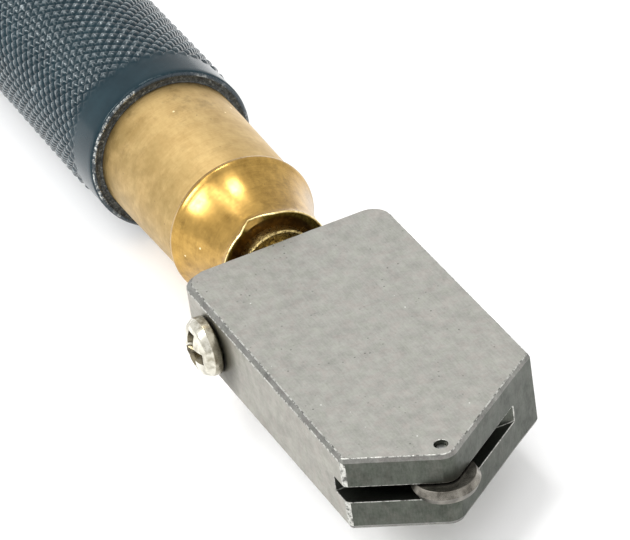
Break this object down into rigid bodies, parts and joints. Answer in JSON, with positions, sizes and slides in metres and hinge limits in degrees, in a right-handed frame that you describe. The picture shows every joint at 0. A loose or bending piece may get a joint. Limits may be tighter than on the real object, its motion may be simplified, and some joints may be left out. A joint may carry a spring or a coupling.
{
  "type": "glass cutter",
  "caption": "Oil-fed glass cutter: knurled grip with reservoir, brass ferrule, swivelling wide steel head with lock screw and a small cutting wheel, screw cap at the rear.",
  "frame": {"origin": "on the handle's axis, half way along the grip sleeve", "axes": "+Y along the handle towards the cutting wheel, +Z square to the head's flat upper face, +X towards the lock screw's side"},
  "size_m": [0.0186, 0.1752, 0.014],
  "materials": {
    "head_steel": "satin, finely ground and a little worn",
    "wheel_carbide": "ground hard metal",
    "axle_steel": "ground",
    "screw_plating": "bright nickel plate",
    "wick_felt": "oiled felt",
    "polished_brass": "turned and polished",
    "brushed_brass": "turned, dull and lightly tarnished",
    "cap_brass": "turned and fluted",
    "grip_coating": "glossy dark slate-blue coat over a diamond knurl",
    "tube_aluminium": "drawn, bare",
    "spring_steel": "drawn wire",
    "gasket_fibre": "pressed fibre",
    "seal_rubber": "nitrile, matte"
  },
  "bodies": {
    "handle": {"grip_sleeve": "grip_coating", "front_ferrule": "brushed_brass", "swivel_coupling": "polished_brass", "coupling_gasket": "gasket_fibre", "stub_o_ring": "seal_rubber", "valve_plug": "polished_brass", "valve_spring": "spring_steel", "reservoir_tube": "tube_aluminium", "front_tube_seal": "seal_rubber", "rear_tube_seal": "seal_rubber", "rear_ferrule": "brushed_brass"},
    "valve": {"valve_pin": "axle_steel", "valve_seal": "seal_rubber"},
    "head": {"cutter_head": "head_steel", "wheel_axle": "axle_steel", "wick": "wick_felt"},
    "wheel": {"cutting_wheel": "wheel_carbide"},
    "screw": {"lock_screw": "screw_plating"},
    "cap_seal": {"cap_o_ring": "seal_rubber"},
    "cap": {"filler_cap": "cap_brass"}
  },
  "joints": [
    {"name": "valve_press", "type": "slide", "parent": "handle", "child": "valve", "axis": [0, -1, 0], "range_m": [0, 0.0005], "stiffness_N_per_m": 800, "springref_m": -0.001, "deforming": ["valve_spring"]},
    {"name": "head_swivel", "type": "hinge", "parent": "valve", "child": "head", "pos_m": [0, 0, 0], "axis": [0, 1, 0], "range_deg": [-15, 15]},
    {"name": "wheel_spin", "type": "hinge", "parent": "head", "child": "wheel", "pos_m": [0.00175, 0.10475, 0], "axis": [0, 0, 1], "continuous": true},
    {"name": "lock_screw_turn", "type": "hinge", "parent": "head", "child": "screw", "pos_m": [0, 0.07995, 0], "axis": [1, 0, 0], "range_deg": [-90, 90]},
    {"name": "cap_lift", "type": "slide", "parent": "handle", "child": "cap_seal", "axis": [0, -1, 0], "range_m": [0, 0.004]},
    {"name": "cap_turn", "type": "hinge", "parent": "cap_seal", "child": "cap", "pos_m": [0, -0.057, 0], "axis": [0, -1, 0], "range_deg": [0, 1800]}
  ],
  "couplings": [
    {"joint": "cap_turn", "follows": "cap_lift", "rad_per_m": 7854}
  ]
}
